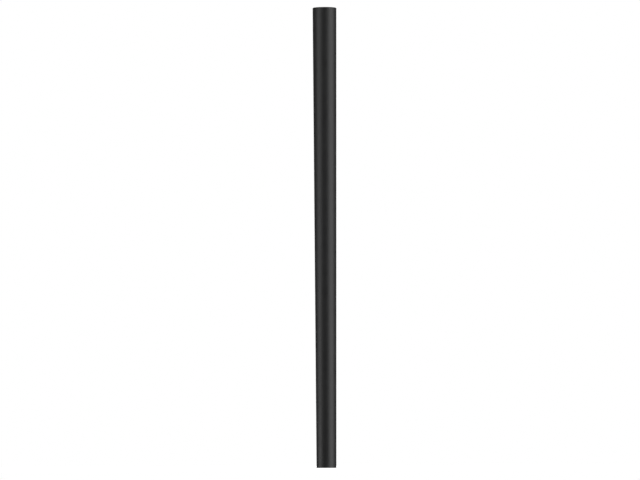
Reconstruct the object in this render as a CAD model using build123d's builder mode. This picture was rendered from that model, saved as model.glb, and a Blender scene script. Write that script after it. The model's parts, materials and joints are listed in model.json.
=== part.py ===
"""Pole of a customer display: a tapered tube that carries a display's neck above a counter.

The pole stands on the XY plane with its axis on +Z. Its front, which faces the customer, is -Y.
Every set screw and the hole that reaches one are on the rear, +Y.

From the outside in, the pole is a steel tube with a plastic bearing pressed into its wide upper end
and an aluminium insert pressed into its narrow lower end. A socket for the display's neck turns in
the bearing against two rubber rings, and the dog point of a set screw stops it short of a full turn.
The display's cable passes down the middle and leaves through a lined slot in the lower insert.
All dimensions are in millimetres.
"""

from build123d import *

import os
from math import asin, degrees

# Pole
POLE_LENGTH = 580.0
TOP_DIAMETER = 30.0
BOTTOM_DIAMETER = 25.0
WALL = 1.5
RIM_CHAMFER = 0.3
PRESS_GAP = 0.04  # a pressed piece is drawn this much clear of the tube, all round

# Bearing in the upper end. Its lip covers the tube's rim and carries on the tube's taper.
LIP_HEIGHT = 1.2
LIP_ROUND = 0.9
BEARING_DEPTH = 42.0
BEARING_RADIUS = 11.0
COUNTERBORE_RADIUS = 12.6
COUNTERBORE_DEPTH = 1.8

# Socket that turns in the bearing and takes the display's neck
RUNNING_GAP = 0.08
FLANGE_RADIUS = 12.3
FLANGE_THICKNESS = 1.5
FLANGE_LIFT = 0.1  # daylight under the flange
FLANGE_ROUND = 0.4
SOCKET_LENGTH = 38.5
SOCKET_RADIUS = 7.75
SOCKET_DEPTH = 28.0
SEAT_RADIUS = 7.0  # the neck rests on the step down to this radius
MOUTH_CHAMFER = 0.5
KEY_WIDTH = 3.0
KEY_DEPTH = 1.2
KEY_LENGTH = 12.0

# Rubber rings that hold the socket where it is turned to, each in a groove round it
RING_GROOVE_WIDTH = 2.0
RING_GROOVE_DEPTH = 1.15
RING_GAP = 0.03
RING_ROUND = 0.5
RING_DEPTHS = (9.0, 33.5)  # below the top of the pole

# Set screws: the thread's radius, and the hexagon socket's size across its flats
M4_RADIUS = 2.0
M4_KEY = 2.0
M3_RADIUS = 1.5
M3_KEY = 1.5
THREAD_GAP = 0.05
SCREW_CHAMFER = 0.3

# Stop screw: its dog point stands in a groove round the socket, and a land across the groove stops it
STOP_DEPTH = 17.0  # below the top of the pole
STOP_LENGTH = 5.0
STOP_RECESS = 0.3
DOG_RADIUS = 1.25
DOG_LENGTH = 2.0
STOP_GROOVE_WIDTH = 3.0
STOP_GROOVE_DEPTH = 1.6
TURN_LIMIT = 165.0  # degrees each way
STOP_MARGIN = 0.3  # degrees left between the dog point and the land at the limit

# Neck screw in the socket's wall, and the hole through bearing and tube that its key goes in by
NECK_SCREW_DEPTH = 25.0
NECK_SCREW_LENGTH = 3.0
NECK_SCREW_RECESS = 0.1
KEY_HOLE_RADIUS = 2.0

# Insert in the lower end, with two tapped holes for the base's screws and a slot for the cable
INSERT_HEIGHT = 24.0
SLOT_LENGTH = 16.6
SLOT_WIDTH = 10.0
RECESS_LENGTH = 17.8
RECESS_WIDTH = 11.2
RECESS_DEPTH = 1.0
BASE_SCREW_SPACING = 16.0
BASE_SCREW_HOLE_RADIUS = 1.65
BASE_SCREW_HOLE_DEPTH = 14.0
BASE_SCREW_COUNTERSINK = 0.35
INSERT_CHAMFER = 0.5
INSERT_SCREW_HEIGHT = 18.0
INSERT_SCREW_LENGTH = 4.0
INSERT_SCREW_RECESS = 0.1

# Cable bush that lines the slot. A flange below and a bead above the insert hold it in.
BUSH_WALL = 0.75
BUSH_GAP = 0.05
BUSH_FLANGE_THICKNESS = 0.9
BEAD_HEIGHT = 1.2
BEAD_SPREAD = 0.45
BUSH_ROUND = 0.3


def tube_radius(height):
    """Outside radius of the pole's straight taper at a height above its foot."""
    share = height / POLE_LENGTH
    return (BOTTOM_DIAMETER + (TOP_DIAMETER - BOTTOM_DIAMETER) * share) / 2


def bore_radius(height):
    """Inside radius of the tube."""
    return tube_radius(height) - WALL


def rear_plane(radius, height):
    """A plane that faces the rear, at a distance behind the pole's axis."""
    return Plane(origin=(0, radius, height), x_dir=(-1, 0, 0), z_dir=(0, 1, 0))


def radial_plane(angle):
    """A plane through the pole's axis whose local X runs outwards at an angle from +X."""
    return Plane.XZ.rotated((0, 0, angle))


def set_screw(radius, length, key, outer_end, height, dog_radius=0.0, dog_length=0.0):
    """A hexagon socket set screw that points at the pole's axis from the rear."""
    threaded = length - dog_length
    with BuildPart(rear_plane(outer_end - threaded, height)) as screw:
        Cylinder(radius, threaded, align=(Align.CENTER, Align.CENTER, Align.MIN))
        chamfer(screw.edges().filter_by(GeomType.CIRCLE), SCREW_CHAMFER)
        with BuildSketch(screw.faces().sort_by(Axis.Y)[-1]):
            RegularPolygon(key / 2, 6, major_radius=False)
        extrude(amount=-threaded / 2, mode=Mode.SUBTRACT)
        if dog_length:
            with BuildSketch(rear_plane(outer_end - threaded, height)):
                Circle(dog_radius)
            extrude(amount=-dog_length)
    return screw


# Heights of what is dimensioned from the top of the pole
tube_top = POLE_LENGTH - LIP_HEIGHT
bearing_foot = POLE_LENGTH - BEARING_DEPTH
counterbore_floor = POLE_LENGTH - COUNTERBORE_DEPTH
flange_foot = counterbore_floor + FLANGE_LIFT
socket_top = flange_foot + FLANGE_THICKNESS
socket_foot = socket_top - SOCKET_LENGTH
stop_height = POLE_LENGTH - STOP_DEPTH
neck_screw_height = POLE_LENGTH - NECK_SCREW_DEPTH

# Radii that follow from the fits
socket_outer = BEARING_RADIUS - RUNNING_GAP
stop_outer_end = tube_radius(stop_height) - STOP_RECESS
stop_tip = stop_outer_end - STOP_LENGTH
insert_screw_outer_end = tube_radius(INSERT_SCREW_HEIGHT) - INSERT_SCREW_RECESS

# Tapered steel tube, open at both ends, with three holes in its rear
with BuildPart() as mast_tube:
    with BuildSketch(Plane.XZ):
        with BuildLine():
            Polyline(
                (bore_radius(0), 0),
                (tube_radius(0), 0),
                (tube_radius(tube_top), tube_top),
                (bore_radius(tube_top), tube_top),
                close=True,
            )
        make_face()
    revolve(axis=Axis.Z)
    chamfer(mast_tube.edges().filter_by(GeomType.CIRCLE).group_by(Axis.Z)[0], RIM_CHAMFER)
    for height, radius in (
        (stop_height, M4_RADIUS + THREAD_GAP),
        (neck_screw_height, KEY_HOLE_RADIUS),
        (INSERT_SCREW_HEIGHT, M4_RADIUS + THREAD_GAP),
    ):
        with Locations(rear_plane(tube_radius(height), height)):
            Hole(radius, depth=tube_radius(height))

# Plastic bearing pressed into the upper end
with BuildPart() as top_bearing:
    with BuildSketch(Plane.XZ):
        with BuildLine():
            Polyline(
                (BEARING_RADIUS, bearing_foot),
                (bore_radius(bearing_foot) - PRESS_GAP, bearing_foot),
                (bore_radius(tube_top) - PRESS_GAP, tube_top),
                (tube_radius(tube_top), tube_top),
                (tube_radius(POLE_LENGTH), POLE_LENGTH),
                (COUNTERBORE_RADIUS, POLE_LENGTH),
                (COUNTERBORE_RADIUS, counterbore_floor),
                (BEARING_RADIUS, counterbore_floor),
                close=True,
            )
        make_face()
    revolve(axis=Axis.Z)
    rims = top_bearing.edges().filter_by(GeomType.CIRCLE)
    top_rims = rims.group_by(Axis.Z)[-1].sort_by(SortBy.RADIUS)
    fillet(top_rims[-1], LIP_ROUND)
    chamfer(top_rims[0], RIM_CHAMFER)
    chamfer(rims.group_by(Axis.Z)[0], RIM_CHAMFER)
    for height, radius in (
        (stop_height, M4_RADIUS + THREAD_GAP),
        (neck_screw_height, KEY_HOLE_RADIUS),
    ):
        with Locations(rear_plane(tube_radius(height), height)):
            Hole(radius, depth=tube_radius(height))

# Turned socket for the display's neck
with BuildPart() as neck_socket:
    with BuildSketch(Plane.XZ):
        with BuildLine():
            Polyline(
                (SEAT_RADIUS, socket_foot),
                (socket_outer, socket_foot),
                (socket_outer, flange_foot),
                (FLANGE_RADIUS, flange_foot),
                (FLANGE_RADIUS, socket_top),
                (SOCKET_RADIUS, socket_top),
                (SOCKET_RADIUS, socket_top - SOCKET_DEPTH),
                (SEAT_RADIUS, socket_top - SOCKET_DEPTH),
                close=True,
            )
        make_face()
    revolve(axis=Axis.Z)
    rims = neck_socket.edges().filter_by(GeomType.CIRCLE)
    top_rims = rims.group_by(Axis.Z)[-1].sort_by(SortBy.RADIUS)
    fillet(top_rims[-1], FLANGE_ROUND)
    chamfer(top_rims[0], MOUTH_CHAMFER)
    chamfer(rims.group_by(Axis.Z)[0], MOUTH_CHAMFER)
    # Keyway down the front of the socket, open at the top
    with BuildSketch(Plane.XY.offset(socket_top)):
        with Locations((0, -SOCKET_RADIUS)):
            Rectangle(KEY_WIDTH, 2 * KEY_DEPTH)
    extrude(amount=-KEY_LENGTH, mode=Mode.SUBTRACT)
    # Ring grooves, all the way round
    for depth in RING_DEPTHS:
        with BuildSketch(Plane.XZ):
            with Locations((socket_outer, POLE_LENGTH - depth)):
                Rectangle(2 * RING_GROOVE_DEPTH, RING_GROOVE_WIDTH)
        revolve(axis=Axis.Z, mode=Mode.SUBTRACT)
    # Stop groove, open for the turn each way and the dog point's own width
    dog_half_angle = degrees(asin(DOG_RADIUS / stop_tip))
    groove_half_angle = TURN_LIMIT + dog_half_angle + STOP_MARGIN
    with BuildSketch(radial_plane(90 - groove_half_angle)):
        with Locations((socket_outer, stop_height)):
            Rectangle(2 * STOP_GROOVE_DEPTH, STOP_GROOVE_WIDTH)
    revolve(axis=Axis.Z, revolution_arc=2 * groove_half_angle, mode=Mode.SUBTRACT)
    # Tapped hole for the neck screw
    with Locations(rear_plane(socket_outer, neck_screw_height)):
        Hole(M3_RADIUS + THREAD_GAP, depth=socket_outer)

# Two rubber rings, squeezed between the socket's grooves and the bearing
ring_floor = socket_outer - RING_GROOVE_DEPTH + RING_GAP
ring_outer = BEARING_RADIUS - RING_GAP
ring_height = RING_GROOVE_WIDTH - 2 * RING_GAP
with BuildPart() as friction_rings:
    for depth in RING_DEPTHS:
        with BuildSketch(Plane.XZ):
            with Locations(((ring_floor + ring_outer) / 2, POLE_LENGTH - depth)):
                RectangleRounded(ring_outer - ring_floor, ring_height, RING_ROUND)
        revolve(axis=Axis.Z)

# Set screws
stop_screw = set_screw(
    M4_RADIUS, STOP_LENGTH, M4_KEY, stop_outer_end, stop_height, DOG_RADIUS, DOG_LENGTH
)
neck_screw = set_screw(
    M3_RADIUS, NECK_SCREW_LENGTH, M3_KEY, socket_outer - NECK_SCREW_RECESS, neck_screw_height
)
insert_screw = set_screw(
    M4_RADIUS, INSERT_SCREW_LENGTH, M4_KEY, insert_screw_outer_end, INSERT_SCREW_HEIGHT
)

# Aluminium insert pressed into the lower end
with BuildPart() as base_insert:
    with BuildSketch(Plane.XZ):
        with BuildLine():
            Polyline(
                (0, 0),
                (bore_radius(0) - PRESS_GAP, 0),
                (bore_radius(INSERT_HEIGHT) - PRESS_GAP, INSERT_HEIGHT),
                (0, INSERT_HEIGHT),
                close=True,
            )
        make_face()
    revolve(axis=Axis.Z)
    chamfer(base_insert.edges().filter_by(GeomType.CIRCLE).group_by(Axis.Z)[-1], INSERT_CHAMFER)
    # Slot for the cable, long from front to rear, with a recess for the bush's flange below
    with BuildSketch():
        SlotOverall(SLOT_LENGTH, SLOT_WIDTH, rotation=90)
    extrude(amount=INSERT_HEIGHT, mode=Mode.SUBTRACT)
    with BuildSketch():
        SlotOverall(RECESS_LENGTH, RECESS_WIDTH, rotation=90)
    extrude(amount=RECESS_DEPTH, mode=Mode.SUBTRACT)
    # Tapped holes with a small countersink, left and right of the slot
    with Locations(Plane.XY.rotated((180, 0, 0))):
        with GridLocations(BASE_SCREW_SPACING, 0, 2, 1):
            CounterSinkHole(
                BASE_SCREW_HOLE_RADIUS,
                BASE_SCREW_HOLE_RADIUS + BASE_SCREW_COUNTERSINK,
                depth=BASE_SCREW_HOLE_DEPTH,
                counter_sink_angle=90,
            )
    with Locations(rear_plane(tube_radius(INSERT_SCREW_HEIGHT), INSERT_SCREW_HEIGHT)):
        Hole(M4_RADIUS + THREAD_GAP, depth=tube_radius(INSERT_SCREW_HEIGHT))

# Plastic bush that lines the slot
bush_length = SLOT_LENGTH - 2 * BUSH_GAP
bush_width = SLOT_WIDTH - 2 * BUSH_GAP
bush_top = INSERT_HEIGHT + BUSH_GAP + BEAD_HEIGHT
with BuildPart() as cable_bush:
    with BuildSketch():
        SlotOverall(RECESS_LENGTH - 2 * BUSH_GAP, RECESS_WIDTH - 2 * BUSH_GAP, rotation=90)
    extrude(amount=BUSH_FLANGE_THICKNESS)
    with BuildSketch():
        SlotOverall(bush_length, bush_width, rotation=90)
    extrude(amount=bush_top)
    with BuildSketch(Plane.XY.offset(INSERT_HEIGHT + BUSH_GAP)):
        SlotOverall(bush_length + 2 * BEAD_SPREAD, bush_width + 2 * BEAD_SPREAD, rotation=90)
    extrude(amount=BEAD_HEIGHT)
    with BuildSketch():
        SlotOverall(bush_length - 2 * BUSH_WALL, bush_width - 2 * BUSH_WALL, rotation=90)
    extrude(amount=bush_top, mode=Mode.SUBTRACT)
    end_faces = cable_bush.faces().filter_by(Axis.Z).group_by(Axis.Z)
    fillet(end_faces[0].edges(), BUSH_ROUND)
    fillet(end_faces[-1].edges(), BUSH_ROUND)

pieces = {
    "mast_tube": mast_tube,
    "top_bearing": top_bearing,
    "neck_socket": neck_socket,
    "friction_rings": friction_rings,
    "stop_screw": stop_screw,
    "neck_screw": neck_screw,
    "base_insert": base_insert,
    "insert_screw": insert_screw,
    "cable_bush": cable_bush,
}
os.makedirs("parts", exist_ok=True)
for name, piece in pieces.items():
    piece.part.label = name
    export_step(piece.part, f"parts/{name}.step")
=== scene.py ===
"""Looks of a customer display's pole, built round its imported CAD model.

The pole stands on the floor at the origin with its axis on +Z. Its front is -Y, and its set screws
are on the rear, +Y. Lengths are in metres. Most pieces are turned: an outline of corners is carried
round the pole's axis, and the holes in its rear are built into the mesh.
"""

import json
import math
from typing import NamedTuple

import bmesh
import bpy
from mathutils import Matrix, Vector

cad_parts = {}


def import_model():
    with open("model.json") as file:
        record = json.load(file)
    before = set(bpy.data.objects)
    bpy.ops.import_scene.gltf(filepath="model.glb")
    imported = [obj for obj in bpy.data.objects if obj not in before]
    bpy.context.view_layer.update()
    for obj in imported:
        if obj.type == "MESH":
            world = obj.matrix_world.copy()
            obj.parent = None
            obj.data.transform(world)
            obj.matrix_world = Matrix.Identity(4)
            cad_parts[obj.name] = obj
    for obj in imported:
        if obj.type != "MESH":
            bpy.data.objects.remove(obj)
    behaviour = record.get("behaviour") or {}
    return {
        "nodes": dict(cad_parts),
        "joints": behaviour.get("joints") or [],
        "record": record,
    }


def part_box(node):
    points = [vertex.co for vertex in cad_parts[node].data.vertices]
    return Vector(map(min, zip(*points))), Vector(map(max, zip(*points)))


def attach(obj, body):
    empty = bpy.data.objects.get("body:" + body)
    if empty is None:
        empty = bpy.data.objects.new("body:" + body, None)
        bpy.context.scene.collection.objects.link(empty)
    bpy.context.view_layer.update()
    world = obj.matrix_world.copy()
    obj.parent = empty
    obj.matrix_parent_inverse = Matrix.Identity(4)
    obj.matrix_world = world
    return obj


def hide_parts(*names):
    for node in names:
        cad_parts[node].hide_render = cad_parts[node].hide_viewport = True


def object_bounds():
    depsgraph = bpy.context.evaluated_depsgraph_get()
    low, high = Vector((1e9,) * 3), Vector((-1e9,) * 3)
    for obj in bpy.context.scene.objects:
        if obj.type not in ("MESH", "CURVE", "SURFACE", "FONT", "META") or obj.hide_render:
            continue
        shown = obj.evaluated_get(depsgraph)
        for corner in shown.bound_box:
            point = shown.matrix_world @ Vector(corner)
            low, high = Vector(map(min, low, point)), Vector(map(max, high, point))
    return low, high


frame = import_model()
cad_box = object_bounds()

MM = 0.001
TAU = 2 * math.pi

# Camera: far off and low, so the foot is seen edge on and the top from a little below
CAMERA_DISTANCE = 7.0
CAMERA_HEIGHT = 0.012
POLE_SHARE = 0.9585  # of the picture's height
AIM_ASIDE = -0.0069  # the picture's centre is a little to the left of the pole
AIM_BELOW = 0.00314  # and below its middle
CAMERA_ROLL = 0.247  # degrees
SENSOR_WIDTH = 36.0  # millimetres, as Blender counts it
SENSOR_HEIGHT = SENSOR_WIDTH * 3 / 4  # the picture is four wide and three high

# Light
STRIP_DISTANCE = 1.2
STRIP_LENGTH = 3.0
FILL_STRENGTH = 0.09
FLOOR_RADIUS = 1.6
FLOOR_GREY = 0.8
PAINTED_SHADE_FOOT_GLOW = 0.5  # at the foot, dimmed there as painted shade round the foot, and it rises outwards to 1

# Meshes
COLUMNS = 192  # vertices round a turned piece, a multiple of 4 for its slot
SPUN_COLUMNS = 48  # vertices round a screw, a multiple of 6 for its hexagon
ROUND_STEPS = 4
END_BAND = 1 * MM  # enough of a piece's end to reach past its chamfer
LONGEST_ROW = 12 * MM
OVERCUT = 0.3 * MM  # how far a cutter reaches past the surface that it cuts
SUPPORT = 0.12 * MM  # a row this close to each round keeps the shading of the flat beside it
SHARPEST_SMOOTH = math.radians(32)
PATCH = 8  # columns each side of a hole that its square patch takes up
NARROW_PATCH = 15  # where the columns are closer together
PATCH_SHARES = (0.3, 0.6, 0.85, 1)  # the way from a patch's edge to its hole, loop by loop
THREAD_ROWS = 16  # in each turn, so that rows fall on the edges of crest and root
MERGE = 0.001 * MM

# Small features, as the CAD model has them
EDGE = 0.1 * MM  # the round of an edge that is drawn sharp
RIM = 0.3 * MM  # the round or the flare of an open end
KEY_HOLE_RIM = 0.2 * MM
LIP_ROUND = 0.9 * MM
COUNTERBORE_RADIUS = 12.6 * MM
COUNTERBORE_DEPTH = 1.8 * MM
SOCKET_RADIUS = 7.75 * MM
SOCKET_DEPTH = 28 * MM
FLANGE_THICKNESS = 1.5 * MM
FLANGE_ROUND = 0.4 * MM
MOUTH_CHAMFER = 0.5 * MM
KEY_WIDTH = 3 * MM
KEY_DEPTH = 1.2 * MM
KEY_LENGTH = 12 * MM
RING_HEIGHT = 1.94 * MM
RING_GAP = 0.03 * MM
RING_ROUND = 0.5 * MM
STOP_GROOVE_WIDTH = 3 * MM
STOP_GROOVE_DEPTH = 1.6 * MM
STOP_MARGIN = math.radians(0.3)
SCREW_CHAMFER = 0.3 * MM
DOG_RADIUS = 1.25 * MM
DOG_LENGTH = 2 * MM
THREAD_GAP = 0.05 * MM
THREAD_DEPTH = 0.541  # of the pitch, as are the flats of crest and root
THREAD_CREST = 1 / 8
THREAD_ROOT = 1 / 4
DRILL_POINT = 0.65  # a drilled hole's cone, as a share of its radius
M4_PITCH = 0.7 * MM
M4_KEY = 2 * MM
M3_PITCH = 0.5 * MM
M3_KEY = 1.5 * MM
BUSH_GAP = 0.05 * MM
BUSH_WALL = 0.75 * MM
BUSH_FLANGE = 0.9 * MM  # thick
BUSH_ROUND = 0.3 * MM
BUSH_STEP = 0.6 * MM  # from the bush's body out to its flange
BEAD_HEIGHT = 1.2 * MM
BEAD_SPREAD = 0.45 * MM
INSERT_CHAMFER = 0.5 * MM
RECESS_DEPTH = 1 * MM
TAPPED_DEPTH = 14 * MM

# Materials
NOISE_RANGE = (0.3, 0.7)  # where the values of a noise mostly lie


# ---------------------------------------------------------------- measuring the frame

def from_axis(point):
    return math.hypot(point.x, point.y)


def reach(node, low, high, pick=max):
    """The largest or smallest distance from the pole's axis of a CAD node, between two heights."""
    points = [v.co for v in frame["nodes"][node].data.vertices]
    return pick(from_axis(p) for p in points if low - MERGE <= p.z <= high + MERGE)


def height_of(node):
    low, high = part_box(node)
    return (low.z + high.z) / 2


# ---------------------------------------------------------------- building meshes

class Shape:
    """Vertices and faces as they are put together."""

    def __init__(self):
        self.points = []
        self.faces = []

    def loop(self, points):
        first = len(self.points)
        self.points += points
        return list(range(first, len(self.points)))

    def bridge(self, one, other):
        """Faces between two loops of as many points."""
        for i in range(len(one)):
            self.faces.append((one[i - 1], one[i], other[i], other[i - 1]))

    def make(self, name):
        mesh = bpy.data.meshes.new(name)
        mesh.from_pydata(self.points, [], self.faces)
        clean(mesh)
        piece = bpy.data.objects.new(name, mesh)
        bpy.context.scene.collection.objects.link(piece)
        return piece


def clean(mesh):
    """Welds a mesh, drops unused points, turns its faces outwards and shades it smooth between edges."""
    made = bmesh.new()
    made.from_mesh(mesh)
    bmesh.ops.remove_doubles(made, verts=made.verts, dist=MERGE)
    unused = [v for v in made.verts if not v.link_faces]
    bmesh.ops.delete(made, geom=unused, context="VERTS")
    bmesh.ops.recalc_face_normals(made, faces=made.faces)
    made.to_mesh(mesh)
    made.free()
    mesh.shade_smooth()
    mesh.set_sharp_from_angle(angle=SHARPEST_SMOOTH)


class Corner(NamedTuple):
    """A corner of a turned outline. With a straight it runs round a slot that is long along Y."""
    r: float
    z: float
    round: float = 0.0
    straight: float = 0.0


def rounded(corners):
    """The points (r, z, straight) of a closed outline, with a supporting point beside each round."""
    spots = [Vector((c.r, c.z)) for c in corners]
    count = len(corners)
    turns = []
    for i, corner in enumerate(corners):
        back = (spots[i - 1] - spots[i]).normalized()
        onward = (spots[(i + 1) % count] - spots[i]).normalized()
        half = back.angle(onward) / 2
        turns.append((back, onward, half, corner.round / math.tan(half)))
    points = []
    for i, corner in enumerate(corners):
        back, onward, half, trim = turns[i]
        if not corner.round:
            points.append((corner.r, corner.z, corner.straight))
            continue

        def support(other, direction):
            room = (spots[other] - spots[i]).length - trim - turns[other][3]
            spot = spots[i] + direction * (trim + min(SUPPORT, room / 3))
            return (*spot, corner.straight)

        centre = spots[i] + (back + onward).normalized() * (corner.round / math.sin(half))
        start = spots[i] + back * trim - centre
        turn = start.angle_signed(spots[i] + onward * trim - centre)
        points.append(support(i - 1, back))
        for step in range(ROUND_STEPS + 1):
            spoke = Matrix.Rotation(-turn * step / ROUND_STEPS, 2) @ start
            points.append((*(centre + spoke), corner.straight))
        points.append(support((i + 1) % count, onward))
    return points


def directions(slotted):
    """(x, y, side) of each column, from +Y round past +X. A slot has two columns at each of ±X."""
    found = []
    for i in range(COLUMNS):
        x = math.sin(TAU * i / COLUMNS)
        y = math.cos(TAU * i / COLUMNS)
        if slotted and i % (COLUMNS // 2) == COLUMNS // 4:
            found += [(x, 0.0, x), (x, 0.0, -x)]
        else:
            found.append((x, y, math.copysign(1, y)))
    return found


class Hole(NamedTuple):
    """A round hole through a turned piece's wall, at the rear, with rounded rims."""
    height: float
    radius: float
    rim: float
    pitch: float = 0.0  # of its thread
    patch: int = PATCH


class Face(NamedTuple):
    """Where a hole meets one face of a wall: its patch's rows from the lowest up, and the face's
    radius at the hole's height, slope and straight."""
    rows: list
    radius: float
    slope: float
    straight: float


def with_rows(points, holes):
    """A closed outline with rows added along its longest stretches and for the patches of holes, and
    the faces that each hole meets."""
    faces = {hole: [] for hole in holes}
    path = []

    def go_to(point):
        if path:
            here = Vector(path[-1])
            onward = Vector(point) - here
            parts = max(1, math.ceil(onward.xy.length / LONGEST_ROW))
            for k in range(1, parts):
                path.append(tuple(here + onward * (k / parts)))
        path.append(tuple(point))

    for i, (r0, z0, straight) in enumerate(points):
        r1, z1, _ = points[(i + 1) % len(points)]
        go_to(points[i])
        upward = z1 > z0
        for hole in sorted(holes, key=lambda h: h.height, reverse=not upward):
            if not min(z0, z1) < hole.height < max(z0, z1):
                continue
            slope = (r1 - r0) / (z1 - z0)
            radius = r0 + slope * (hole.height - z0)
            tall = radius * math.sin(TAU * hole.patch / COLUMNS)
            rows = []
            for j in range(-hole.patch, hole.patch + 1):
                z = hole.height + (tall * j / hole.patch if upward else -tall * j / hole.patch)
                go_to((r0 + slope * (z - z0), z, straight))
                rows.append(len(path) - 1)
            faces[hole].append(Face(rows if upward else rows[::-1], radius, slope, straight))
    return path, faces


def patch_edge(rows, width, patch):
    """The vertices round a hole's patch, from the columns and rows that bound it."""
    def at(j, c):
        return rows[j] * width + c % width

    last = 2 * patch
    edge = [at(0, c) for c in range(-patch, patch)]
    edge += [at(j, patch) for j in range(last)]
    edge += [at(last, c) for c in range(patch, -patch, -1)]
    edge += [at(j, -patch) for j in range(last, 0, -1)]
    return edge


def ridge(along, angle, pitch):
    """Height, from 0 to 1, of a right-hand thread at a place along and round its axis."""
    away = abs((along / pitch + angle / TAU) % 1 - 0.5)
    flank = (1 - THREAD_CREST - THREAD_ROOT) / 2
    return min(1, max(0, (THREAD_CREST / 2 + flank - away) / flank))


def bore(shape, hole, outer_face, inner_face, width):
    """Fills a hole's two patches and joins them by the hole's wall."""
    outer_edge = patch_edge(outer_face.rows, width, hole.patch)
    inner_edge = patch_edge(inner_face.rows, width, hole.patch)
    angles = []
    for v in outer_edge:
        x, _, z = shape.points[v]
        angles.append(math.atan2(z - hole.height, x))

    def surface(face, x, z):
        """The y of a face at an x and a z."""
        radius = face.radius + face.slope * (z - hole.height)
        return face.straight + math.sqrt(radius * radius - x * x)

    def circle(face, radius, sink):
        """A loop round the hole's axis, sunk towards +Y from a face."""
        points = []
        for a in angles:
            x = radius * math.cos(a)
            z = hole.height + radius * math.sin(a)
            points.append((x, surface(face, x, z) + sink, z))
        return points

    def towards(face, edge, share):
        """A loop part of the way from the patch's edge to the hole's rim."""
        points = []
        for v, (to_x, _, to_z) in zip(edge, circle(face, hole.radius + hole.rim + SUPPORT, 0)):
            x, _, z = shape.points[v]
            x += (to_x - x) * share
            z += (to_z - z) * share
            points.append((x, surface(face, x, z), z))
        return points

    def mouth(face, edge, inward):
        """The loops from a patch's edge, over the rim and into the hole."""
        found = [edge]
        found += [shape.loop(towards(face, edge, share)) for share in PATCH_SHARES]
        for k in range(ROUND_STEPS + 1):
            a = math.pi / 2 * k / ROUND_STEPS
            radius = hole.radius + hole.rim * (1 - math.sin(a))
            found.append(shape.loop(circle(face, radius, inward * hole.rim * (1 - math.cos(a)))))
        return found

    def thread(outer, inner):
        """The loops of a threaded wall between the ends of the two rims."""
        starts = [shape.points[v][1] for v in outer]
        ends = [shape.points[v][1] for v in inner]
        count = math.ceil((max(starts) - min(ends)) / hole.pitch * THREAD_ROWS)
        found = []
        for k in range(1, count):
            points = []
            for a, start, end in zip(angles, starts, ends):
                y = start + (end - start) * k / count
                depth = min(THREAD_DEPTH * hole.pitch, start - y, y - end)
                radius = hole.radius - depth * (1 - ridge(y, a, hole.pitch))
                points.append((radius * math.cos(a), y, hole.height + radius * math.sin(a)))
            found.append(shape.loop(points))
        return found

    outer = mouth(outer_face, outer_edge, -1)
    inner = mouth(inner_face, inner_edge, 1)
    wall = thread(outer[-1], inner[-1]) if hole.pitch else []
    loops = outer + wall + inner[::-1]
    for one, other in zip(loops, loops[1:]):
        shape.bridge(one, other)


def turned(corners, holes=(), shape=None):
    """A closed outline carried round the pole's axis, outside first, with holes in its rear."""
    shape = shape or Shape()
    path, faces = with_rows(rounded(corners), holes)
    spokes = directions(any(c.straight for c in corners))
    width = len(spokes)
    first = len(shape.points)
    for r, z, straight in path:
        shape.loop([(r * x, r * y + straight * side, z) for x, y, side in spokes])
    gaps = set()
    for hole in holes:
        for face in faces[hole]:
            for k in sorted(face.rows)[:-1]:
                gaps |= {(k, c % width) for c in range(-hole.patch, hole.patch)}
    for k in range(len(path)):
        onward = (k + 1) % len(path)
        for c in range(width):
            if (k, c) not in gaps:
                d = (c + 1) % width
                quad = (k * width + c, k * width + d, onward * width + d, onward * width + c)
                shape.faces.append(tuple(first + v for v in quad))
    for hole in holes:
        bore(shape, hole, *faces[hole], width)
    return shape


def rearward(height):
    """Places (radius, angle, along) round an axis that runs to the rear at a height."""
    return lambda r, a, y: (r * math.cos(a), y, height + r * math.sin(a))


def upward_at(x):
    """Places (radius, angle, along) round an upright axis at an x."""
    return lambda r, a, z: (x + r * math.cos(a), -r * math.sin(a), z)


def spun(stations, place):
    """A solid spun round an axis. A station is (radius, along), or a function that gives them at an
    angle. It may follow a helix, because the last column stands apart from the first until both are
    welded, as the points of a station with radius 0 are."""
    shape = Shape()
    angles = [TAU * i / SPUN_COLUMNS for i in range(SPUN_COLUMNS + 1)]
    loops = []
    for station in stations:
        spots = [station(a) if callable(station) else station for a in angles]
        loops.append(shape.loop([place(r, a, along) for a, (r, along) in zip(angles, spots)]))
    for one, other in zip(loops, loops[1:]):
        for i in range(SPUN_COLUMNS):
            shape.faces.append((one[i], one[i + 1], other[i + 1], other[i]))
    return shape


def thread_stations(start, end, pitch, radius):
    """Stations of a thread, in rows that follow its helix and end with it. The radius is a function
    of the place along and the ridge's height there."""
    def station(k):
        def at(a):
            along = min(end, max(start, pitch * (k / THREAD_ROWS - a / TAU)))
            return radius(along, ridge(along, a, pitch)), along
        return at

    first = math.floor(start / pitch * THREAD_ROWS)
    last = math.ceil((end / pitch + 1) * THREAD_ROWS)
    return [station(k) for k in range(first, last + 1)]


def cut(piece, *cutters):
    """Takes the cutters out of a piece."""
    for shape in cutters:
        cutter = shape.make("cutter")
        modifier = piece.modifiers.new("cut", "BOOLEAN")
        modifier.operation = "DIFFERENCE"
        modifier.solver = "EXACT"
        modifier.object = cutter
        with bpy.context.temp_override(object=piece, active_object=piece):
            bpy.ops.object.modifier_apply(modifier=modifier.name)
        bpy.data.objects.remove(cutter)
    clean(piece.data)


# ---------------------------------------------------------------- materials

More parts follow.
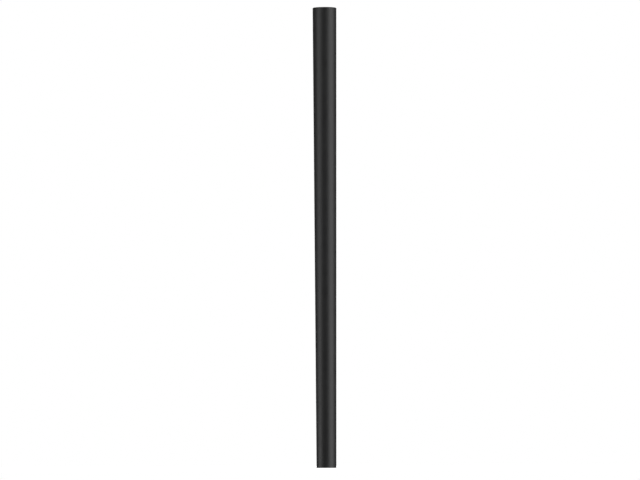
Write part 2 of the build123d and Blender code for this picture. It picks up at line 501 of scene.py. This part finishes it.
class Look:
    """A procedural material as it is put together. Noise scales count features in a metre."""

    def __init__(self, name):
        self.material = bpy.data.materials.new(name)
        self.material.use_nodes = True
        self.tree = self.material.node_tree
        self.shader = self.tree.nodes["Principled BSDF"]
        self.place = self.add("TexCoord").outputs["Object"]

    def add(self, kind, **inputs):
        node = self.tree.nodes.new("ShaderNode" + kind)
        for name, value in inputs.items():
            self.put(node.inputs[name], value)
        return node

    def put(self, socket, value):
        if isinstance(value, bpy.types.NodeSocket):
            self.tree.links.new(value, socket)
        else:
            socket.default_value = value

    def noise(self, scale, detail=3.0):
        return self.add("TexNoise", Vector=self.place, Scale=scale, Detail=detail).outputs["Fac"]

    def tool_marks(self, scale):
        """Fine lines round the pole's axis, across every turned face."""
        flat = self.add("VectorMath", Vector=self.place)
        flat.operation = "MULTIPLY"
        flat.inputs[1].default_value = (1, 1, 0)
        radius = self.add("VectorMath", Vector=flat.outputs["Vector"])
        radius.operation = "LENGTH"
        height = self.add("SeparateXYZ", Vector=self.place).outputs["Z"]
        along = self.add("Math")
        self.put(along.inputs[0], radius.outputs["Value"])
        self.put(along.inputs[1], height)
        lines = self.add("TexNoise", Scale=scale, Detail=2.0)
        lines.noise_dimensions = "1D"
        self.put(lines.inputs["W"], along.outputs["Value"])
        return lines.outputs["Fac"]

    def between(self, source, low, high, over=NOISE_RANGE):
        """A value that goes from low to high as the source crosses a range."""
        span = self.add("MapRange", Value=source)
        span.inputs["From Min"].default_value = over[0]
        span.inputs["From Max"].default_value = over[1]
        span.inputs["To Min"].default_value = low
        span.inputs["To Max"].default_value = high
        return span.outputs["Result"]

    def colour(self, source, one, other):
        mix = self.add("Mix")
        mix.data_type = "RGBA"
        mix.inputs["A"].default_value = (*one, 1)
        mix.inputs["B"].default_value = (*other, 1)
        self.put(mix.inputs["Factor"], self.between(source, 0.0, 1.0))
        self.put(self.shader.inputs["Base Color"], mix.outputs["Result"])

    def roughness(self, source, low, high):
        self.put(self.shader.inputs["Roughness"], self.between(source, low, high))

    def bump(self, source, depth, strength=0.5, under=None):
        """Relief of a depth, over another bump's where one is given."""
        made = self.add("Bump", Height=source, Distance=depth, Strength=strength)
        if under:
            self.put(made.inputs["Normal"], under)
        self.put(self.shader.inputs["Normal"], made.outputs["Normal"])
        return made.outputs["Normal"]


def black_paint():
    """Satin black paint, with a fine grain over a shallow orange peel."""
    look = Look("satin_black_paint")
    cloud = look.noise(60, 4.0)
    look.colour(cloud, (0.0120, 0.0120, 0.0124), (0.0150, 0.0150, 0.0156))
    look.roughness(cloud, 0.43, 0.49)
    peel = look.bump(look.noise(700), 0.05 * MM)
    look.bump(look.noise(3000, 2.0), 0.03 * MM, 0.8, peel)
    return look.material


def black_acetal():
    """Acetal with the fine rings that a lathe leaves."""
    look = Look("turned_acetal")
    lines = look.tool_marks(7000)
    look.colour(look.noise(400), (0.0125, 0.0125, 0.0130), (0.0165, 0.0165, 0.0172))
    look.roughness(lines, 0.36, 0.50)
    look.bump(lines, 0.03 * MM, 0.8)
    return look.material


def black_anodised():
    """Black anodised aluminium, with turning marks under the film."""
    look = Look("black_anodised_aluminium")
    look.shader.inputs["Metallic"].default_value = 0.7
    lines = look.tool_marks(5500)
    look.colour(look.noise(500), (0.030, 0.030, 0.033), (0.042, 0.042, 0.046))
    look.roughness(lines, 0.28, 0.42)
    look.bump(lines, 0.02 * MM, 0.7)
    return look.material


def black_rubber():
    """Moulded nitrile rubber, matt."""
    look = Look("nitrile_rubber")
    look.shader.inputs["Specular IOR Level"].default_value = 0.35
    cloud = look.noise(900, 4.0)
    look.colour(cloud, (0.012, 0.012, 0.012), (0.020, 0.020, 0.0195))
    look.roughness(cloud, 0.72, 0.85)
    look.bump(look.noise(5000), 0.01 * MM)
    return look.material


def black_oxide_steel():
    """Steel under a black oxide film that is a little brown in places."""
    look = Look("black_oxide_steel")
    look.shader.inputs["Metallic"].default_value = 1.0
    cloud = look.noise(1200, 4.0)
    look.colour(cloud, (0.050, 0.049, 0.050), (0.090, 0.084, 0.078))
    look.roughness(cloud, 0.34, 0.52)
    look.bump(look.noise(8000), 0.004 * MM)
    return look.material


def turned_aluminium():
    """Bare aluminium with the tool's rings across its faces."""
    look = Look("turned_aluminium")
    look.shader.inputs["Metallic"].default_value = 1.0
    lines = look.tool_marks(6000)
    look.colour(look.noise(300), (0.72, 0.73, 0.74), (0.80, 0.81, 0.82))
    look.roughness(lines, 0.24, 0.38)
    look.bump(lines, 0.006 * MM, 0.6)
    return look.material


def black_nylon():
    """Moulded nylon with a fine matt grain."""
    look = Look("grained_nylon")
    cloud = look.noise(700)
    look.colour(cloud, (0.022, 0.022, 0.023), (0.030, 0.030, 0.031))
    look.roughness(cloud, 0.55, 0.66)
    look.bump(look.noise(4500, 2.0), 0.015 * MM)
    return look.material


# ---------------------------------------------------------------- pieces

def tapered_tube():
    low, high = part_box("mast_tube")
    foot = reach("mast_tube", low.z, low.z + END_BAND)
    bore_foot = reach("mast_tube", low.z, low.z + END_BAND, min)
    wall = foot - bore_foot
    outline = [
        Corner(foot, low.z, RIM),
        Corner(high.x, high.z, EDGE),
        Corner(high.x - wall, high.z, EDGE),
        Corner(bore_foot, low.z, RIM),
    ]
    holes = [
        Hole(height_of("insert_screw"), screw_radius("insert_screw") + THREAD_GAP, EDGE, M4_PITCH),
        Hole(height_of("neck_screw"), screw_radius("stop_screw"), KEY_HOLE_RIM),
        Hole(height_of("stop_screw"), screw_radius("stop_screw") + THREAD_GAP, EDGE, M4_PITCH),
    ]
    return turned(outline, holes).make("tapered_tube")


def lipped_bearing():
    """Its lip covers the tube's rim and carries on the tube's taper."""
    low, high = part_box("top_bearing")
    tube_foot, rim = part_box("mast_tube")
    lip = reach("top_bearing", rim.z, rim.z)
    pressed = reach("top_bearing", rim.z, rim.z, min)
    taper = (rim.x - reach("mast_tube", tube_foot.z, tube_foot.z + END_BAND)) / rim.z
    foot = pressed - taper * (rim.z - low.z)
    inside = reach("top_bearing", low.z, high.z, min)
    shoulder = high.z - COUNTERBORE_DEPTH
    outline = [
        Corner(foot, low.z, RIM),
        Corner(pressed, rim.z, 0),
        Corner(lip, rim.z, EDGE),
        Corner(lip + taper * (high.z - rim.z), high.z, LIP_ROUND),
        Corner(COUNTERBORE_RADIUS, high.z, RIM),
        Corner(COUNTERBORE_RADIUS, shoulder, EDGE),
        Corner(inside, shoulder, EDGE),
        Corner(inside, low.z, RIM),
    ]
    holes = [
        Hole(height_of("neck_screw"), screw_radius("stop_screw"), EDGE),
        Hole(height_of("stop_screw"), screw_radius("stop_screw") + THREAD_GAP, EDGE),
    ]
    return turned(outline, holes).make("lipped_bearing")


def display_socket():
    """The turning socket: ring grooves all the way round it, and a stop groove most of the way."""
    low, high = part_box("neck_socket")
    outside = reach("neck_socket", low.z, low.z + END_BAND)
    seat = reach("neck_socket", low.z, high.z, min)
    flange = high.z - FLANGE_THICKNESS
    seat_height = high.z - SOCKET_DEPTH
    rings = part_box("friction_rings")
    floor = reach("friction_rings", rings[0].z, rings[1].z, min) - RING_GAP
    deep = RING_HEIGHT / 2 + RING_GAP

    def groove(height):
        return [
            Corner(outside, height - deep, EDGE),
            Corner(floor, height - deep, EDGE),
            Corner(floor, height + deep, EDGE),
            Corner(outside, height + deep, EDGE),
        ]

    outline = [
        Corner(outside - MOUTH_CHAMFER, low.z, EDGE),
        Corner(outside, low.z + MOUTH_CHAMFER, EDGE),
        *groove(rings[0].z + RING_HEIGHT / 2),
        *groove(rings[1].z - RING_HEIGHT / 2),
        Corner(outside, flange, EDGE),
        Corner(high.x, flange, EDGE),
        Corner(high.x, high.z, FLANGE_ROUND),
        Corner(SOCKET_RADIUS + MOUTH_CHAMFER, high.z, EDGE),
        Corner(SOCKET_RADIUS, high.z - MOUTH_CHAMFER, EDGE),
        Corner(SOCKET_RADIUS, seat_height, EDGE),
        Corner(seat, seat_height, EDGE),
        Corner(seat, low.z + MOUTH_CHAMFER, EDGE),
        Corner(seat + MOUTH_CHAMFER, low.z, EDGE),
    ]
    hole = Hole(height_of("neck_screw"), screw_radius("neck_screw") + THREAD_GAP, EDGE)
    piece = turned(outline, [hole]).make("display_socket")
    cut(piece, keyway(high.z), stop_groove(outside))
    return piece


def keyway(top):
    """The cutter of the slot down the front of the socket, flared at its mouth."""
    shape = Shape()
    loops = []
    for z, flare in ((top - KEY_LENGTH, 0), (top - RIM, 0), (top + RIM, 2 * RIM)):
        x = KEY_WIDTH / 2 + flare
        back = SOCKET_RADIUS + KEY_DEPTH + flare
        loops.append(shape.loop([(x, -back, z), (-x, -back, z), (-x, 0, z), (x, 0, z)]))
    for one, other in zip(loops, loops[1:]):
        shape.bridge(one, other)
    shape.faces += [tuple(loops[0]), tuple(loops[-1])]
    return shape


def stop_groove(outside):
    """The cutter of the groove that the dog point runs in. The land that it leaves is at the front."""
    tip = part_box("stop_screw")[0].y
    limit = math.radians(frame["joints"][0]["range_deg"][1])
    half_angle = limit + math.asin(DOG_RADIUS / tip) + STOP_MARGIN
    height = height_of("stop_screw")
    floor, over = outside - STOP_GROOVE_DEPTH, outside + OVERCUT
    shape = Shape()
    loops = []
    for i in range(COLUMNS + 1):
        a = half_angle * (2 * i / COLUMNS - 1)
        loops.append(shape.loop([
            (r * math.sin(a), r * math.cos(a), height + side * STOP_GROOVE_WIDTH / 2)
            for r, side in ((floor, -1), (over, -1), (over, 1), (floor, 1))
        ]))
    for one, other in zip(loops, loops[1:]):
        shape.bridge(one, other)
    shape.faces += [tuple(loops[0]), tuple(loops[-1])]
    return shape


def rubber_rings():
    low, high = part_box("friction_rings")
    inside = reach("friction_rings", low.z, high.z, min)
    shape = Shape()
    for foot in (low.z, high.z - RING_HEIGHT):
        outline = [
            Corner(high.x, foot, RING_ROUND),
            Corner(high.x, foot + RING_HEIGHT, RING_ROUND),
            Corner(inside, foot + RING_HEIGHT, RING_ROUND),
            Corner(inside, foot, RING_ROUND),
        ]
        turned(outline, shape=shape)
    return shape.make("rubber_rings")


def screw_radius(node):
    low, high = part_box(node)
    return (high.x - low.x) / 2


def set_screw(name, node, pitch, key, dog_radius=0.0, dog_length=0.0):
    """A threaded set screw with a hexagon socket in its rear end."""
    low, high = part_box(node)
    tip, end = low.y, high.y
    start = tip + dog_length
    radius = screw_radius(node)
    key_depth = (end - start) / 2
    drill = key / 2 - EDGE / 2

    def threaded(along, height):
        chamfer = radius - SCREW_CHAMFER + min(along - start, end - along)
        return min(chamfer, radius - THREAD_DEPTH * pitch * (1 - height))

    def hexagon(grown, along):
        return lambda a: (key / 2 / math.cos(a % (TAU / 6) - TAU / 12) + grown, along)

    stations = [(0, tip)]
    if dog_length:
        stations += [
            (dog_radius - EDGE, tip),
            (dog_radius, tip + EDGE),
            (dog_radius, start),
        ]
    stations += thread_stations(start, end, pitch, threaded)
    stations += [
        hexagon(EDGE, end),
        hexagon(0, end - EDGE),
        hexagon(0, end - key_depth),
        (drill, end - key_depth),
        (0, end - key_depth - drill * DRILL_POINT),
    ]
    return spun(stations, rearward(height_of(node))).make(name)


def slot_size():
    """Half width of the bush's flange, and how far each of its round ends lies from the middle."""
    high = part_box("cable_bush")[1]
    return high.x, high.y - high.x


def foot_insert():
    """A slot for the cable with a recess for the bush's flange, and two tapped holes beside it."""
    low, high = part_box("base_insert")
    foot = reach("base_insert", low.z, low.z)
    top = reach("base_insert", high.z, high.z)
    shoulder = reach("base_insert", high.z - INSERT_CHAMFER, high.z - INSERT_CHAMFER)
    flange, straight = slot_size()
    recess = flange + BUSH_GAP
    slot = flange - BUSH_STEP + BUSH_GAP
    outline = [
        Corner(foot, low.z, EDGE),
        Corner(shoulder, high.z - INSERT_CHAMFER, EDGE),
        Corner(top, high.z, EDGE),
        Corner(slot, high.z, EDGE, straight),
        Corner(slot, low.z + RECESS_DEPTH, EDGE, straight),
        Corner(recess, low.z + RECESS_DEPTH, EDGE, straight),
        Corner(recess, low.z, EDGE, straight),
    ]
    hole = Hole(
        height_of("insert_screw"), screw_radius("insert_screw") + THREAD_GAP, EDGE, M4_PITCH, NARROW_PATCH
    )
    piece = turned(outline, [hole]).make("foot_insert")
    pattern = next(m for m in frame["record"]["mounts"] if m["name"] == "base_screws")
    half_spacing = pattern["dims"]["spacing_x_mm"] / 2 * MM
    minor = pattern["dims"]["hole_r_mm"] * MM
    cut(piece, *(tapped_hole(side * half_spacing, low.z, minor) for side in (-1, 1)))
    return piece


def tapped_hole(x, foot, minor):
    """The cutter of a tapped hole that opens downwards, with a countersunk mouth and a drilled end."""
    major = minor + THREAD_DEPTH * M4_PITCH
    end = foot + TAPPED_DEPTH
    below = foot - OVERCUT

    def threaded(along, height):
        countersink = major - (along - foot)
        runout = minor + end - along
        return max(minor, countersink, min(runout, minor + (major - minor) * height))

    return spun([
        (0, below),
        *thread_stations(below, end, M4_PITCH, threaded),
        (0, end + minor * DRILL_POINT),
    ], upward_at(x))


def slot_liner():
    """The bush that lines the slot: a flange below, and a bead that snaps over the insert's top."""
    low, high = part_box("cable_bush")
    flange, straight = slot_size()
    body = flange - BUSH_STEP
    bead = body + BEAD_SPREAD
    inside = body - BUSH_WALL
    bead_foot = high.z - BEAD_HEIGHT
    flange_top = low.z + BUSH_FLANGE
    corners = (
        (flange, low.z, BUSH_ROUND),
        (flange, flange_top, EDGE),
        (body, flange_top, EDGE),
        (body, bead_foot, EDGE),
        (bead, bead_foot, EDGE),
        (bead, high.z, BUSH_ROUND),
        (inside, high.z, BUSH_ROUND),
        (inside, low.z, BUSH_ROUND),
    )
    return turned([Corner(*corner, straight) for corner in corners]).make("slot_liner")


PIECES = (
    # piece, CAD node, body, slot, material
    (tapered_tube(), "mast_tube", "mast", "black_paint", black_paint()),
    (lipped_bearing(), "top_bearing", "mast", "black_acetal", black_acetal()),
    (display_socket(), "neck_socket", "swivel", "black_anodised", black_anodised()),
    (rubber_rings(), "friction_rings", "swivel", "black_rubber", black_rubber()),
    (
        set_screw("dog_point_screw", "stop_screw", M4_PITCH, M4_KEY, DOG_RADIUS, DOG_LENGTH),
        "stop_screw", "mast", "black_oxide_steel", black_oxide_steel(),
    ),
    (
        set_screw("clamp_screw", "neck_screw", M3_PITCH, M3_KEY),
        "neck_screw", "neck_screw", "black_oxide_steel", black_oxide_steel(),
    ),
    (
        set_screw("insert_set_screw", "insert_screw", M4_PITCH, M4_KEY),
        "insert_screw", "mast", "black_oxide_steel", black_oxide_steel(),
    ),
    (foot_insert(), "base_insert", "mast", "turned_aluminium", turned_aluminium()),
    (slot_liner(), "cable_bush", "mast", "black_nylon", black_nylon()),
)
for piece, node, body, slot, material in PIECES:
    piece.data.materials.append(material)
    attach(piece, body)
    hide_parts(node)


# ---------------------------------------------------------------- stage

def camera():
    """A long lens, under which the pole fills its share of the picture's height."""
    top = cad_box[1].z
    aim = Vector((AIM_ASIDE, 0, top / 2 - AIM_BELOW))
    data = bpy.data.cameras.new("camera")
    made = bpy.data.objects.new("camera", data)
    bpy.context.scene.collection.objects.link(made)
    made.location = (AIM_ASIDE, -CAMERA_DISTANCE, CAMERA_HEIGHT)
    facing = (aim - made.location).to_track_quat("-Z", "Y").to_matrix()
    roll = Matrix.Rotation(math.radians(-CAMERA_ROLL), 3, "Z")
    made.rotation_euler = (facing @ roll).to_euler()
    pitch = math.atan2(aim.z - CAMERA_HEIGHT, CAMERA_DISTANCE)
    above = math.atan2(top - CAMERA_HEIGHT, CAMERA_DISTANCE) - pitch
    below = math.atan2(-CAMERA_HEIGHT, CAMERA_DISTANCE) - pitch
    data.sensor_width = SENSOR_WIDTH
    data.lens = SENSOR_HEIGHT * POLE_SHARE / (math.tan(above) - math.tan(below))
    bpy.context.scene.camera = made


def strip_light(name, bearing, lean, width, power):
    """A tall soft light that faces the pole. Bearing 0 is the front and 90 the right, in degrees.
    Lean, in degrees too, tips its top end towards a larger bearing."""
    data = bpy.data.lights.new(name, "AREA")
    data.shape = "RECTANGLE"
    data.size = width
    data.size_y = STRIP_LENGTH
    data.energy = power
    made = bpy.data.objects.new(name, data)
    bpy.context.scene.collection.objects.link(made)
    a, b = math.radians(bearing), math.radians(lean)
    outward = Vector((math.sin(a), -math.cos(a), 0))
    aside = Vector((math.cos(a), math.sin(a), 0))
    along = Vector((0, 0, math.cos(b))) + aside * math.sin(b)
    made.location = outward * STRIP_DISTANCE + Vector((0, 0, cad_box[1].z / 2))
    made.rotation_euler = Matrix((along.cross(outward), along, outward)).transposed().to_euler()
    made.visible_camera = False


def world():
    """White as the camera sees it, and a weak grey fill as the pole does."""
    made = bpy.data.worlds.new("studio")
    made.use_nodes = True
    nodes = made.node_tree.nodes
    links = made.node_tree.links
    fill = nodes["Background"]
    fill.inputs["Color"].default_value = (1, 1, 1, 1)
    fill.inputs["Strength"].default_value = FILL_STRENGTH
    seen = nodes.new("ShaderNodeBackground")
    seen.inputs["Color"].default_value = (1, 1, 1, 1)
    pick = nodes.new("ShaderNodeMixShader")
    path = nodes.new("ShaderNodeLightPath")
    links.new(path.outputs["Is Camera Ray"], pick.inputs["Fac"])
    links.new(fill.outputs["Background"], pick.inputs[1])
    links.new(seen.outputs["Background"], pick.inputs[2])
    links.new(pick.outputs["Shader"], nodes["World Output"].inputs["Surface"])
    bpy.context.scene.world = made
    view = bpy.context.scene.view_settings
    view.view_transform = "Standard"
    view.look = "None"


def floor():
    """A white floor whose glow is dimmed at the foot, as painted shade under the faint shadow that it
    takes.
    It sends no light back at the pole, and it doesn't hold back the lower ends of the lights, which hang
    past it."""
    look = Look("white_floor_painted_shade")
    look.shader.inputs["Roughness"].default_value = 1.0
    look.shader.inputs["Specular IOR Level"].default_value = 0.0
    look.shader.inputs["Base Color"].default_value = (FLOOR_GREY, FLOOR_GREY, FLOOR_GREY, 1)
    look.shader.inputs["Emission Color"].default_value = (1, 1, 1, 1)
    # Painted shade: the glow is dimmest at the foot and rises to full strength halfway to the floor's
    # edge.
    away = look.add("VectorMath", Vector=look.place)
    away.operation = "LENGTH"
    glow_with_painted_shade = look.between(away.outputs["Value"], PAINTED_SHADE_FOOT_GLOW, 1.0, over=(0.0, FLOOR_RADIUS / 2))
    look.put(look.shader.inputs["Emission Strength"], glow_with_painted_shade)
    shape = Shape()
    edge = shape.loop([
        (FLOOR_RADIUS * math.cos(TAU * i / COLUMNS), FLOOR_RADIUS * math.sin(TAU * i / COLUMNS), 0)
        for i in range(COLUMNS)
    ])
    shape.faces.append(tuple(edge))
    made = shape.make("floor")
    made.data.materials.append(look.material)
    made.visible_diffuse = False
    made.visible_glossy = False
    made.visible_shadow = False


camera()
strip_light("right_softbox", bearing=63, lean=10, width=1.26, power=24.4)
strip_light("left_softbox", bearing=-68, lean=35, width=0.72, power=11.8)
strip_light("rear_softbox", bearing=180, lean=0, width=0.6, power=14)
world()
floor()
